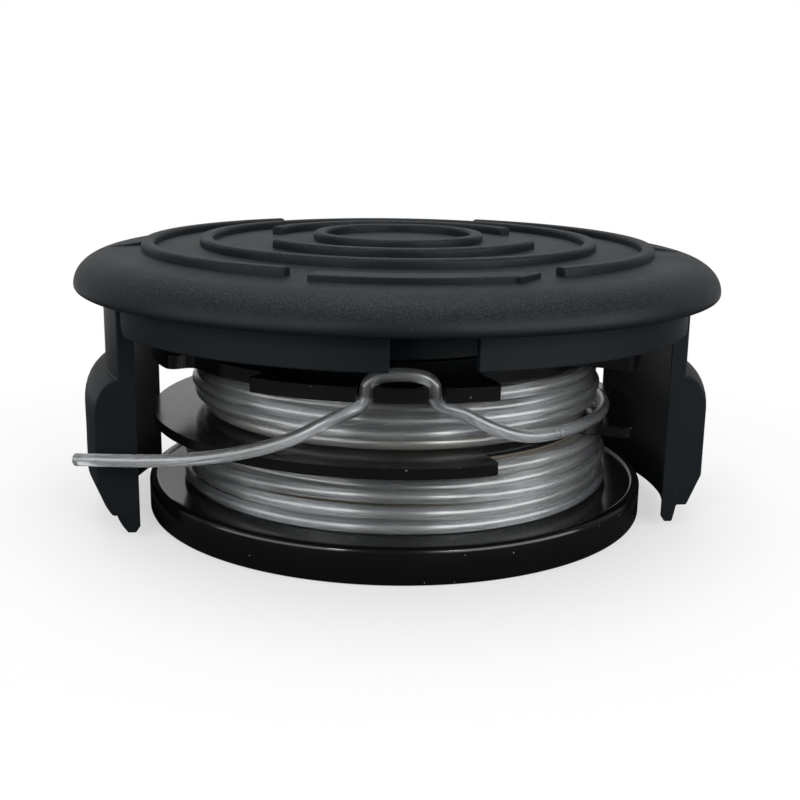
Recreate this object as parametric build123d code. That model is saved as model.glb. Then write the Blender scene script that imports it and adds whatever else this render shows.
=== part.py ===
from build123d import *
import os
from math import atan2, cos, degrees, hypot, pi, radians, sin, tan

# Spool of trimmer line under its clip-on cover. Millimetres, +Z up.
# The spool stands on its base flange at z = 0 on the Z axis, and the cover's latch arms lie along X.

# Trimmer line
LINE_D = 1.65
LINE_FIT = 0.2           # room on each side of the line in a parking notch
WIND_FIT = 0.1           # room between a winding and the spool's walls
SCALLOP = 0.4            # depth of the valley between two neighbouring turns
UPPER_WIND_R = 29.6
LOWER_WIND_R = 30.8

# Spool
BASE_R = 35.8
BASE_H = 4.6
BASE_PLATE = 2.0
BASE_RIM_WALL = 2.2
BASE_EDGE = 0.7
LIP_W = 1.3
LIP_H = 0.35
LOWER_CHAMBER = 8.75
MID_FLANGE = 1.4
UPPER_CHAMBER = 7.95
TOP_FLANGE = 1.8
FLANGE_R = 35.0
FLANGE_EDGE = 0.45
FLANGE_CORNER = 1.2
HUB_R = 19.5
HUB_WALL = 2.2
WEB_LOW = 10.0
WEB = 2.5
BORE_R = 4.0
BORE_WALL = 3.0
BORE_LENGTH = 10.0
LUGS = 8
LUG_W = 2.4
LUG_GAP = 0.4            # how far the drive lugs stay above the standing face
LUG_IN_R = 22.5
LUG_OUT_R = 30.5

# Cut-aways in the flanges, as angles about Z; each has a twin half a turn away
CUT_START = -74.3
CUT_SPAN = 42.8
CUT_R = 27.5
RECESS_START = -154.0
RECESS_SPAN = 27.5
RECESS_R = 31.5
NOTCH_ANGLES = (-102.1, -87.9)
NOTCH_DEPTH = 2.9

# Cover
COVER_R = 45.0
PLATE_TOP = 38.3
PLATE = 2.2
CROWN = 1.4              # fall of the plate from its middle to the rim's shoulder
RIM_LOW = 32.2
RIM_ROUND = 5.5          # radial width of the rim's rounded shoulder
RIM_EDGE = 0.6
SKIRT_R = 41.2
SKIRT_WALL = 2.0
SKIRT_LOW = 27.65
SKIRT_CORNER = 2.0
WINDOW_W = 10.1
BOSS_WALL = 4.0
BOSS_SHOULDER = 1.9      # width of the ledge that lands on the hub
SPIGOT = 2.0
SPIGOT_FIT = 0.2

# Ribs and marks on the cover's top
RING_R = 12.0
RING_PITCH = 7.95
RIB_W = 1.75
RIB_H = 1.15
RIB_EDGE = 0.45
RIB_SINK = 0.4           # how far a rib's root reaches into the plate
SPLIT_HALF_GAP = 26.4    # half the opening of the second ring, about X
SIDE_HALF_SPAN = 62.5    # half the sweep of the outer side arcs, about X
ARROW_H = 0.65
ARROW_R = 35.2
ARROW_W = 3.7
ARROW_HEAD_W = 5.2
ARROW_TAIL = -112.2
ARROW_BARB = -74.1
ARROW_TIP = -67.3
FIN_W = 1.6
FIN_H = 0.45
FIN_LENGTH = 4.8
FIN_ANGLES = (-3.0, 177.0)

# Latch arms and their thumb pads
ARM_HALF = 16.3
ARM_SLOT = 1.6
ARM_LOW = 0.7
ARM_TIP = 0.9
TIP_STEP = 3.1           # height of the small step below the thumb pad
PAD_STAND = 3.0          # how far the thumb pad stands out from the arm
PAD_FOOT_STAND = 1.3     # how far it stands out at its foot
PAD_FOOT = 7.6           # height where the pad's lower slope begins
PAD_SHOULDER = 16.8
PAD_TOP = 21.6
GRIP_Z = 13.2
GRIP_R = 2.2
GRIP_DEPTH = 0.55
GRIP_LENGTH = 15.0

# Heights that follow from the sizes above
MID_LOW = BASE_H + LOWER_CHAMBER
MID_HIGH = MID_LOW + MID_FLANGE
TOP_LOW = MID_HIGH + UPPER_CHAMBER
SPOOL_TOP = TOP_LOW + TOP_FLANGE
PLATE_UNDER = PLATE_TOP - PLATE
PLATE_R = COVER_R - RIM_ROUND
CROWN_R = (PLATE_R**2 + CROWN**2) / (2 * CROWN)
HUB_IN_R = HUB_R - HUB_WALL
SKIRT_IN_R = SKIRT_R - SKIRT_WALL
PAD_R = SKIRT_R + PAD_STAND
NOTCH_IN_R = FLANGE_R - NOTCH_DEPTH
HALF_TURN = (0, 180)

# Route of the loose end: off the upper winding, up through one parking notch, over the tab,
# down through the other notch and out past the left arm
TAIL_ROUTE = [
    (18.84, -24.11, 16.05),
    (15.35, -26.55, 16.1),
    (11.55, -28.62, 17.0),
    (7.55, -30.25, 18.85),
    (4.4, -31.6, 20.9),
    (1.22, -33.28, 21.9),
    (1.22, -33.28, 24.8),
    (-0.8, -33.3, 25.8),
    (-4.95, -32.95, 25.8),
    (-6.98, -32.56, 24.8),
    (-6.98, -32.56, 21.9),
    (-10.4, -33.4, 20.85),
    (-16.3, -32.7, 17.6),
    (-23.2, -30.0, 15.25),
    (-30.2, -26.3, 13.6),
    (-37.0, -22.4, 12.55),
    (-43.2, -18.9, 11.8),
]
RUN_SHARE = 0.45         # share of the shorter run that each bend takes up


def disc(radius, low, high):
    """A solid disc on the Z axis between two heights."""
    return Pos(0, 0, low) * Cylinder(radius, high - low, align=(Align.CENTER, Align.CENTER, Align.MIN))


def ring(outer, inner, low, high):
    """A tube on the Z axis between two heights."""
    return disc(outer, low, high) - disc(inner, low, high)


def polar(radius, angle):
    """A point at a radius and an angle in degrees."""
    return (radius * cos(radians(angle)), radius * sin(radians(angle)))


def sector(inner, outer, start, span):
    """A flat ring sector between two radii, from a start angle over a span."""
    end = start + span
    return make_face([
        CenterArc((0, 0), inner, start, span),
        CenterArc((0, 0), outer, start, span),
        Line(polar(inner, start), polar(outer, start)),
        Line(polar(inner, end), polar(outer, end)),
    ])


def crown(radius):
    """Height of the plate's crowned top at a radius."""
    return PLATE_TOP - CROWN_R + (CROWN_R**2 - radius**2) ** 0.5


def flange_outline(cuts):
    """A round flange outline with cut-aways (start, span, radius), each with a twin half a turn away."""
    outline = Circle(FLANGE_R)
    for start, span, depth_r in cuts:
        for turn in HALF_TURN:
            outline -= sector(depth_r, FLANGE_R + FLANGE_CORNER, start + turn, span)
    corners = [v for v in outline.vertices() if hypot(v.X, v.Y) < FLANGE_R - FLANGE_EDGE or is_cut(v, cuts)]
    return fillet(corners, FLANGE_CORNER)


def is_cut(vertex, cuts):
    """Whether a vertex lies on the side of one of the cut-aways."""
    angle = degrees(atan2(vertex.Y, vertex.X))
    sides = [start + turn + part for start, span, _ in cuts for turn in HALF_TURN for part in (0, span)]
    return any(abs((angle - side + 180) % 360 - 180) < 1 for side in sides)


def parking_notches():
    """Outlines of the round-ended slots in the top flange's tabs, where the line is clipped for storage."""
    half = LINE_D / 2 + LINE_FIT
    straight = FLANGE_R + FLANGE_CORNER - NOTCH_IN_R - half
    slot = Pos(NOTCH_IN_R + half + straight / 2, 0) * Rectangle(straight, 2 * half)
    slot += Pos(NOTCH_IN_R + half, 0) * Circle(half)
    return [Rot(0, 0, angle + turn) * slot for angle in NOTCH_ANGLES for turn in HALF_TURN]


def flange_plate(outline, low, thickness):
    """A flange of an outline, with its upper and lower edges eased."""
    plate = Pos(0, 0, low) * extrude(outline, thickness)
    return chamfer(plate.edges().filter_by(Plane.XY), FLANGE_EDGE)


def make_spool():
    """One moulding: base flange, hub, two upper flanges, web with a bore, and drive lugs below."""
    under = BASE_H - BASE_PLATE
    base = disc(BASE_R, 0, BASE_H) + ring(BASE_R, BASE_R - LIP_W, BASE_H, BASE_H + LIP_H)
    outer_edges = [e for e in base.edges().filter_by(GeomType.CIRCLE) if abs(e.radius - BASE_R) < 0.01]
    base = fillet([e for e in outer_edges if abs(e.center().Z - BASE_H) > 0.01], BASE_EDGE)
    base -= disc(BASE_R - BASE_RIM_WALL, 0, under)
    lug = Box(LUG_OUT_R - LUG_IN_R, LUG_W, under - LUG_GAP)
    lug = Pos((LUG_IN_R + LUG_OUT_R) / 2, 0, (LUG_GAP + under) / 2) * lug
    for index in range(LUGS):
        base += Rot(0, 0, index * 360 / LUGS) * lug

    cuts = [(CUT_START, CUT_SPAN, CUT_R)]
    mid = flange_plate(flange_outline(cuts), MID_LOW, MID_FLANGE)
    recess = (RECESS_START, RECESS_SPAN, RECESS_R)
    top_outline = flange_outline(cuts + [recess])
    for notch in parking_notches():
        top_outline -= notch
    top = flange_plate(top_outline, TOP_LOW, TOP_FLANGE)

    spool = base + mid + top + disc(HUB_R, under, SPOOL_TOP)
    spool -= disc(HUB_IN_R, 0, WEB_LOW)
    spool -= disc(HUB_IN_R, WEB_LOW + WEB, SPOOL_TOP)
    spool += disc(BORE_R + BORE_WALL, WEB_LOW, WEB_LOW + BORE_LENGTH)
    return spool - disc(BORE_R, WEB_LOW, WEB_LOW + BORE_LENGTH)


def make_winding(low, high, outer_r):
    """One chamber's line as a single turned solid, its outside scalloped by the turns that show."""
    bottom = low + WIND_FIT
    height = high - low - 2 * WIND_FIT
    turns = round(height / LINE_D)
    pitch = height / turns
    inner_r = HUB_R + WIND_FIT
    valley = outer_r - SCALLOP
    top = bottom + height
    edges = [Polyline((valley, bottom), (inner_r, bottom), (inner_r, top), (valley, top))]
    for index in range(turns):
        foot = bottom + index * pitch
        edges.append(ThreePointArc((valley, foot), (outer_r, foot + pitch / 2), (valley, foot + pitch)))
    return revolve(Plane.XZ * make_face(edges), Axis.Z)


def make_tail():
    """The loose end of the line: straight runs joined by tangent arcs, as large as the runs allow."""
    points = [Vector(*point) for point in TAIL_ROUTE]
    radii = []
    for before, here, after in zip(points, points[1:], points[2:]):
        shorter = min((here - before).length, (after - here).length)
        half_turn = radians((here - before).get_angle(after - here)) / 2
        radii.append(RUN_SHARE * shorter / tan(half_turn))
    path = FilletPolyline(*points, radius=radii)
    tail = sweep(Plane(origin=path @ 0, z_dir=path % 0) * Circle(LINE_D / 2), path=path)
    print("tail radii", [round(radius, 1) for radius in radii])
    share = tail.volume / (path.length * pi * LINE_D**2 / 4)
    print("tail length", round(path.length, 2), "volume against section by length", round(share, 4))
    return tail


def make_shell():
    """The cover's plate, rounded rim, skirt and centre boss; the skirt is cut for arms and windows."""
    rim_height = PLATE_TOP - CROWN - RIM_LOW - RIM_EDGE
    shoulder_foot = (PLATE_R, RIM_LOW + RIM_EDGE)
    inner_edge = (SKIRT_IN_R, crown(SKIRT_IN_R) - PLATE)
    section = make_face([
        EllipticalCenterArc(shoulder_foot, RIM_ROUND, rim_height, arc_size=90),
        TangentArc((0, PLATE_TOP), (PLATE_R, PLATE_TOP - CROWN), tangent=(1, 0)),
        Line((0, PLATE_TOP), (0, PLATE_UNDER)),
        TangentArc((0, PLATE_UNDER), inner_edge, tangent=(1, 0)),
        Polyline(
            inner_edge, (SKIRT_IN_R, SKIRT_LOW), (SKIRT_R, SKIRT_LOW), (SKIRT_R, RIM_LOW),
            (COVER_R - RIM_EDGE, RIM_LOW),
        ),
        RadiusArc((COVER_R - RIM_EDGE, RIM_LOW), (COVER_R, RIM_LOW + RIM_EDGE), -RIM_EDGE),
    ])
    shell = revolve(Plane.XZ * section, Axis.Z)
    depth = SKIRT_R + SKIRT_WALL
    opening = RIM_LOW - SKIRT_LOW
    side = ARM_HALF + ARM_SLOT
    low = (Align.MIN, Align.CENTER, Align.MIN)
    for turn in HALF_TURN:
        arm_gap = Pos(0, 0, SKIRT_LOW) * Box(depth, 2 * side, opening, align=low)
        window = Rot(0, 0, -90) * Pos(0, 0, SKIRT_LOW) * Box(depth, WINDOW_W, opening, align=low)
        shell -= Rot(0, 0, turn) * (arm_gap + window)
    corners = shell.edges().filter_by(Axis.X).filter_by_position(Axis.Z, SKIRT_LOW, SKIRT_LOW)
    corners = [edge for edge in corners if abs(abs(edge.center().Y) - side) < 0.01]
    shell = fillet(corners, SKIRT_CORNER)

    boss_r = HUB_IN_R - SPIGOT_FIT + BOSS_SHOULDER
    spigot_r = HUB_IN_R - SPIGOT_FIT
    boss = disc(boss_r, SPOOL_TOP, PLATE_UNDER) + disc(spigot_r, SPOOL_TOP - SPIGOT, SPOOL_TOP)
    return shell + (boss - disc(boss_r - BOSS_WALL, SPOOL_TOP - SPIGOT, PLATE_UNDER))


def make_arms():
    """Both latch arms with their thumb pads, turned as one ring and trimmed to flat sides."""
    mid_r = SKIRT_R - SKIRT_WALL / 2
    half_tip = SKIRT_WALL / 2 - ARM_TIP / 2
    root = RIM_LOW + RIM_EDGE
    section = make_face([
        Polyline(
            (SKIRT_R, PAD_TOP), (SKIRT_R, root), (SKIRT_IN_R, root), (SKIRT_IN_R, ARM_LOW + ARM_TIP),
            (mid_r - half_tip, ARM_LOW), (mid_r + half_tip, ARM_LOW), (SKIRT_R, TIP_STEP),
            (SKIRT_R + PAD_FOOT_STAND, TIP_STEP), (PAD_R, PAD_FOOT), (PAD_R, PAD_SHOULDER),
        ),
        EllipticalCenterArc((SKIRT_R, PAD_SHOULDER), PAD_STAND, PAD_TOP - PAD_SHOULDER, arc_size=90),
    ])
    arms = revolve(Plane.XZ * section, Axis.Z)
    arms &= Pos(0, 0, root / 2) * Box(3 * PAD_R, 2 * ARM_HALF, root)
    grip = Pos(PAD_R + GRIP_R - GRIP_DEPTH, 0, GRIP_Z) * Rot(90, 0, 0) * Cylinder(GRIP_R, GRIP_LENGTH)
    for turn in HALF_TURN:
        arms -= Rot(0, 0, turn) * grip
    return arms


def rib(outer_r, start=0, span=360):
    """A raised ring, or an arc of one, with bevelled top edges."""
    height = RIB_H + RIB_SINK
    foot = crown(outer_r) - RIB_SINK
    section = Pos(outer_r - RIB_W / 2, foot + height / 2) * Rectangle(RIB_W, height)
    section = chamfer(section.vertices().group_by(Axis.Y)[-1], RIB_EDGE)
    return Rot(0, 0, start) * revolve(Plane.XZ * section, Axis.Z, span)


def make_top_marks():
    """Concentric ribs, the turning arrow and the two fins on the cover's top."""
    radii = [RING_R + index * RING_PITCH for index in range(4)]
    marks = [rib(radii[0]), rib(radii[2])]
    for turn in HALF_TURN:
        marks.append(rib(radii[1], turn + SPLIT_HALF_GAP, 180 - 2 * SPLIT_HALF_GAP))
        marks.append(rib(radii[3], turn - SIDE_HALF_SPAN, 2 * SIDE_HALF_SPAN))

    bar = sector(ARROW_R - ARROW_W / 2, ARROW_R + ARROW_W / 2, ARROW_TAIL, ARROW_BARB - ARROW_TAIL)
    barbs = [polar(ARROW_R + side * ARROW_HEAD_W / 2, ARROW_BARB) for side in (-1, 1)]
    head = make_face(Polyline(*barbs, polar(ARROW_R, ARROW_TIP), close=True))
    marks.append(Pos(0, 0, crown(ARROW_R) - RIB_SINK) * extrude(bar + head, ARROW_H + RIB_SINK))

    start = radii[3] - RIB_W / 2
    end = radii[3] + FIN_LENGTH
    foot = crown(end) - RIB_SINK
    outline = Polyline((start, foot), (start, crown(start) + FIN_H), (end, foot), close=True)
    fin = extrude(Plane.XZ * make_face(outline), FIN_W / 2, both=True)
    marks.extend(Rot(0, 0, angle) * fin for angle in FIN_ANGLES)
    return marks


def make_cover():
    """One moulding: plate, rim, skirt, boss, latch arms and the marks on top."""
    cover = make_shell() + make_arms()
    for mark in make_top_marks():
        cover += mark
    return cover


PARTS = {
    "spool": make_spool(),
    "lower_winding": make_winding(BASE_H, MID_LOW, LOWER_WIND_R),
    "upper_winding": make_winding(MID_HIGH, TOP_LOW, UPPER_WIND_R),
    "line_tail": make_tail(),
    "cover": make_cover(),
}

os.makedirs("parts", exist_ok=True)
for name, solid in PARTS.items():
    export_step(solid, f"parts/{name}.step")
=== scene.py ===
from math import asin, atan2, cos, pi, radians, sin, tau

import bmesh
import bpy
from bpy.props import FloatProperty, FloatVectorProperty, IntProperty, PointerProperty
from mathutils import Matrix, Vector, noise


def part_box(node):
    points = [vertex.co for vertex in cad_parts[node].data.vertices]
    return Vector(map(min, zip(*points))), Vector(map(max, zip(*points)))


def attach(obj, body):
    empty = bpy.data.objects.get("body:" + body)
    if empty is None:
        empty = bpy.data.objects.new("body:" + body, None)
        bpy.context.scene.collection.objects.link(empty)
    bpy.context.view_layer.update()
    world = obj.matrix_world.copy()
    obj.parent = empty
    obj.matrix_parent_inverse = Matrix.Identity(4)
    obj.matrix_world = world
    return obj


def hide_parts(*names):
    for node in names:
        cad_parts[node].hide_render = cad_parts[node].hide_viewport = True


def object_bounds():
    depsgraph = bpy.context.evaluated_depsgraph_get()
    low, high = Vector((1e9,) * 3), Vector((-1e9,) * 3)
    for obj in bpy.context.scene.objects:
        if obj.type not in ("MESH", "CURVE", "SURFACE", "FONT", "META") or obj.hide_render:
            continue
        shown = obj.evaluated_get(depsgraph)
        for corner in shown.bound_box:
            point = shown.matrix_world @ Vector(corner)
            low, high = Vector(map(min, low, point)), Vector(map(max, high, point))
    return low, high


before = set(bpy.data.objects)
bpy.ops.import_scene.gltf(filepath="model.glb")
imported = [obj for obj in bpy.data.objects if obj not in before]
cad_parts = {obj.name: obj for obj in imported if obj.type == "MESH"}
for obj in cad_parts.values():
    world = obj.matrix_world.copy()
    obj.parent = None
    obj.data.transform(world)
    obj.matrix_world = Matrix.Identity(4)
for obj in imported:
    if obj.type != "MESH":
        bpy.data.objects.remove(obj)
CAD_BOX = [list(corner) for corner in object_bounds()]

bl_info = {
    "name": "Trimmer Line Spool",
    "version": (1, 0, 0),
    "blender": (4, 5, 0),
    "location": "View3D > Sidebar > Line Spool",
    "description": "Dresses a spool of trimmer line and its clip-on cover for a studio picture",
    "category": "Object",
}

MM = 0.001

# Centre line of the loose end, in metres: off the upper winding, over the tab, out past the left arm
LOOSE_END = [
    (0.01884, -0.02411, 0.01605),
    (0.01535, -0.02655, 0.0161),
    (0.01155, -0.02862, 0.017),
    (0.00755, -0.03025, 0.01885),
    (0.0044, -0.0316, 0.0209),
    (0.00122, -0.03328, 0.0219),
    (0.00122, -0.03328, 0.0248),
    (-0.0008, -0.0333, 0.0258),
    (-0.00495, -0.03295, 0.0258),
    (-0.00698, -0.03256, 0.0248),
    (-0.00698, -0.03256, 0.0219),
    (-0.0104, -0.0334, 0.02085),
    (-0.0163, -0.0327, 0.0176),
    (-0.0232, -0.03, 0.01525),
    (-0.0302, -0.0263, 0.0136),
    (-0.037, -0.0224, 0.01255),
    (-0.0432, -0.0189, 0.0118),
]


# Settings

def length_setting(name, description, size):
    """A length, given in millimetres and held in metres."""
    return FloatProperty(name=name, description=description, default=size * MM, unit="LENGTH")


def share_setting(name, description, share):
    """A share between 0 and 1."""
    return FloatProperty(name=name, description=description, default=share, subtype="FACTOR")


def colour_setting(name, description, colour):
    """A colour as linear red, green and blue."""
    return FloatVectorProperty(name=name, description=description, default=colour, subtype="COLOR")


def angle_setting(name, description, degrees):
    """An angle, given in degrees and held in radians."""
    return FloatProperty(name=name, description=description, default=radians(degrees), subtype="ANGLE")


def plain_setting(name, description, value):
    """A plain number."""
    return FloatProperty(name=name, description=description, default=value)


class CoverSettings(bpy.types.PropertyGroup):
    """Sizes and finish of the clip-on cover."""

    radius: length_setting("Radius", "Outside radius of the rim", 45.0)
    top: length_setting("Top", "Height of the plate's middle", 38.3)
    plate: length_setting("Plate", "Thickness of the plate", 2.2)
    crown: length_setting("Crown", "Fall of the plate from its middle to the rim's shoulder", 1.4)
    rim_low: length_setting("Rim Low", "Height of the rim's lower edge", 32.2)
    rim_round: length_setting("Rim Shoulder", "Radial width of the rim's rounded shoulder", 5.5)
    skirt_radius: length_setting("Skirt Radius", "Outside radius of the skirt and arms", 41.2)
    wall: length_setting("Wall", "Thickness of the skirt and arms", 2.0)
    skirt_low: length_setting("Skirt Low", "Height of the skirt's lower edge", 27.65)
    window: length_setting("Window", "Width of the skirt's windows", 10.1)
    arm_half: length_setting("Arm Half", "Half the width of an arm", 16.3)
    arm_slot: length_setting("Arm Slot", "Gap between an arm and the skirt", 1.6)
    ring_radius: length_setting("Ring Radius", "Outside radius of the smallest rib", 12.0)
    ring_pitch: length_setting("Ring Pitch", "Step in radius from rib to rib", 7.95)
    rib_width: length_setting("Rib Width", "Width of a rib", 1.75)
    rib_height: length_setting("Rib Height", "Height of a rib", 1.15)
    colour: colour_setting("Colour", "Colour of the grained plastic", (0.0085, 0.0105, 0.0128))
    roughness: share_setting("Roughness", "Mean roughness of the grained plastic", 0.5)


class SpoolSettings(bpy.types.PropertyGroup):
    """Sizes and finish of the spool."""

    base_radius: length_setting("Base Radius", "Radius of the base flange", 35.8)
    flange_radius: length_setting("Flange Radius", "Radius of the two upper flanges", 35.0)
    hub_radius: length_setting("Hub Radius", "Outside radius of the hub", 19.5)
    hub_wall: length_setting("Hub Wall", "Thickness of the hub's wall", 2.2)
    bore: length_setting("Bore", "Radius of the spindle's bore", 4.0)
    colour: colour_setting("Colour", "Colour of the glossy plastic", (0.0035, 0.0035, 0.004))
    roughness: share_setting("Roughness", "Mean roughness of the glossy plastic", 0.1)


class LineSettings(bpy.types.PropertyGroup):
    """Size and finish of the nylon line."""

    diameter: length_setting("Diameter", "Thickness of the line", 1.65)
    colour: colour_setting("Colour", "Tint of the clear nylon", (0.87, 0.905, 0.93))
    packed: colour_setting("Packed", "Colour of the turns below the clear layers", (0.3, 0.25, 0.17))
    roughness: share_setting("Roughness", "Mean haze of the drawn line", 0.22)
    skin: share_setting("Skin", "Roughness of the line's skin", 0.32)
    layers: IntProperty(
        name="Layers", description="Clear outer layers of line in each chamber", default=2
    )
    clearness: share_setting("Clearness", "How clear the line is", 0.95)


class StudioSettings(bpy.types.PropertyGroup):
    """Camera and light of the studio."""

    camera: FloatVectorProperty(
        name="Camera",
        description="Place of the camera",
        default=(-0.01776, -0.16914, 0.05617),
        subtype="TRANSLATION",
    )
    lens: plain_setting("Lens", "Focal length in millimetres", 53.51)
    heading: angle_setting("Heading", "Turn of the camera to the right of +Y", 6.2)
    pitch: angle_setting("Pitch", "Tilt of the camera below the horizon", 13.73)
    roll: angle_setting("Roll", "Turn of the camera about its own axis", 0.9)
    overhead: plain_setting("Overhead", "Power of the overhead lamp in watts", 1.5)
    left_panel: plain_setting("Left Panel", "Power of the left panel lamp in watts", 1.4)
    right_panel: plain_setting("Right Panel", "Power of the right panel lamp in watts", 2.2)
    glint: plain_setting("Glint", "Power of each small lamp by the camera in watts", 0.2)


class LineSpoolSettings(bpy.types.PropertyGroup):
    """All the settings of the line spool."""

    cover: PointerProperty(type=CoverSettings)
    spool: PointerProperty(type=SpoolSettings)
    line: PointerProperty(type=LineSettings)
    studio: PointerProperty(type=StudioSettings)


# Mesh helpers

def polar(radius, angle):
    """A point at a radius and an angle."""
    return Vector((radius * cos(angle), radius * sin(angle)))


def smooth(share):
    """A share held between 0 and 1, with soft ends."""
    share = min(1.0, max(0.0, share))
    return share * share * (3 - 2 * share)


def round_corners(points, steps=5):
    """A closed outline of (x, y, radius) corners as plain points, each corner turned into an arc."""
    outline = []
    count = len(points)
    for index, (x, y, radius) in enumerate(points):
        here = Vector((x, y))
        if radius <= 0:
            outline.append(here)
            continue
        before = (Vector(points[index - 1][:2]) - here).normalized()
        after = (Vector(points[(index + 1) % count][:2]) - here).normalized()
        half = before.angle(after) / 2
        centre = here + (before + after).normalized() * (radius / sin(half))
        first = here + before * (radius * cos(half) / sin(half)) - centre
        last = here + after * (radius * cos(half) / sin(half)) - centre
        arc = (first.slerp(last, step / steps) for step in range(steps + 1))
        outline.extend(centre + radius * way for way in arc)
    return outline


def join_rows(mesh, near, far):
    """Faces between two closed rows of as many points."""
    for index in range(len(near)):
        following = (index + 1) % len(near)
        mesh.faces.new((near[index], near[following], far[following], far[index]))


def sweep_outline(mesh, outline, steps, start=None, end=None):
    """Sweeps a closed (radius, height) outline about Z.

    It makes a full turn, or goes from the angle start(radius) to the angle end(radius).
    """
    whole = start is None
    rows = []
    for step in range(steps + (not whole)):
        row = []
        for radius, height in outline:
            angle = tau * step / steps
            if not whole:
                angle = start(radius) + (end(radius) - start(radius)) * step / steps
            row.append(mesh.verts.new((*polar(radius, angle), height)))
        rows.append(row)
    if whole:
        rows.append(rows[0])
    for near, far in zip(rows, rows[1:]):
        join_rows(mesh, near, far)
    if not whole:
        mesh.faces.new(rows[0])
        mesh.faces.new(rows[-1])


def raise_outline(mesh, outline, low, high):
    """A flat closed outline of (x, y) points raised into a solid between two heights."""
    foot = [mesh.verts.new((x, y, low)) for x, y in outline]
    head = [mesh.verts.new((x, y, high)) for x, y in outline]
    mesh.faces.new(foot)
    mesh.faces.new(head)
    join_rows(mesh, foot, head)


def raise_ring(mesh, outline, inner, low, high):
    """A flat outline with a round hole in it, raised into a solid between two heights."""
    loops = []
    for height in (low, high):
        loops.append([mesh.verts.new((x, y, height)) for x, y in outline])
        loops.append([mesh.verts.new((*polar(inner, atan2(y, x)), height)) for x, y in outline])
    foot_out, foot_in, head_out, head_in = loops
    join_rows(mesh, foot_out, foot_in)
    join_rows(mesh, head_out, head_in)
    join_rows(mesh, foot_out, head_out)
    join_rows(mesh, foot_in, head_in)


def finish_piece(name, mesh, material, bevel=0.0, crease=radians(35)):
    """Makes an object of a mesh, smooth but for its creases, or with them eased by a bevel."""
    bmesh.ops.remove_doubles(mesh, verts=mesh.verts, dist=1e-6)
    bmesh.ops.dissolve_degenerate(mesh, edges=mesh.edges, dist=1e-7)
    bmesh.ops.recalc_face_normals(mesh, faces=mesh.faces)
    data = bpy.data.meshes.new(name)
    mesh.to_mesh(data)
    mesh.free()
    data.shade_smooth()
    data.materials.append(material)
    piece = bpy.data.objects.new(name, data)
    bpy.context.collection.objects.link(piece)
    if not bevel:
        data.set_sharp_from_angle(angle=crease)
    else:
        ease = piece.modifiers.new("eased edges", "BEVEL")
        ease.width = bevel
        ease.segments = 3
        ease.limit_method = "ANGLE"
        ease.angle_limit = crease
        ease.harden_normals = True
    return piece


def place(piece, node):
    """Puts a piece in a CAD node's place, on the object's one body, and hides the node."""
    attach(piece, "root")
    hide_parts(node)


# Material helpers

class Nodes:
    """Adds and links nodes in a material's, group's or world's tree."""

    def __init__(self, tree):
        self.tree = tree

    def add(self, kind, links=None, **values):
        """A node of a kind; values are its properties, links its inputs' sockets or constants."""
        node = self.tree.nodes.new(kind)
        for name, value in values.items():
            setattr(node, name, value)
        for socket, source in (links or {}).items():
            if isinstance(source, bpy.types.NodeSocket):
                self.tree.links.new(source, node.inputs[socket])
            else:
                node.inputs[socket].default_value = source
        return node

    def ramp(self, source, *stops):
        """A colour ramp over a value, with (position, colour) stops; a number is a grey."""
        node = self.add("ShaderNodeValToRGB", {"Fac": source})
        elements = node.color_ramp.elements
        while len(elements) < len(stops):
            elements.new(0.5)
        for element, (position, colour) in zip(elements, stops):
            if isinstance(colour, (int, float)):
                colour = (colour, colour, colour)
            element.position = position
            element.color = (*colour, 1)
        return node.outputs["Color"]

    def math(self, operation, first, second):
        """The result of a sum on two sockets or constants."""
        return self.add("ShaderNodeMath", {0: first, 1: second}, operation=operation).outputs[0]

    def span(self, source, low, high, to_low=0.0, to_high=1.0):
        """A value carried from one range to another and held at its ends."""
        limits = {"From Min": low, "From Max": high, "To Min": to_low, "To Max": to_high}
        return self.add("ShaderNodeMapRange", {"Value": source, **limits}).outputs["Result"]

    def blend(self, factor, first, second):
        """Two colours, sockets or constants, mixed by a factor."""
        inputs = {"Factor": factor, "A": first, "B": second}
        return self.add("ShaderNodeMix", inputs, data_type="RGBA").outputs["Result"]

    def axis(self, source, name):
        """One of a vector's X, Y and Z."""
        return self.add("ShaderNodeSeparateXYZ", {"Vector": source}).outputs[name]

    def marks(self, **scales):
        """Outputs of the shared surface marks, with the inputs given; Grain_Scale is Grain Scale."""
        node = self.add("ShaderNodeGroup", node_tree=surface_marks())
        for name, value in scales.items():
            node.inputs[name.replace("_", " ")].default_value = value
        return node.outputs


def new_group(name, inputs, outputs):
    """An empty shader node group with float inputs and outputs."""
    tree = bpy.data.node_groups.new(name, "ShaderNodeTree")
    for label, default in inputs.items():
        socket = tree.interface.new_socket(label, in_out="INPUT", socket_type="NodeSocketFloat")
        socket.default_value = default
    for label in outputs:
        tree.interface.new_socket(label, in_out="OUTPUT", socket_type="NodeSocketFloat")
    nodes = Nodes(tree)
    return nodes, nodes.add("NodeGroupInput").outputs, nodes.add("NodeGroupOutput")


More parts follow.
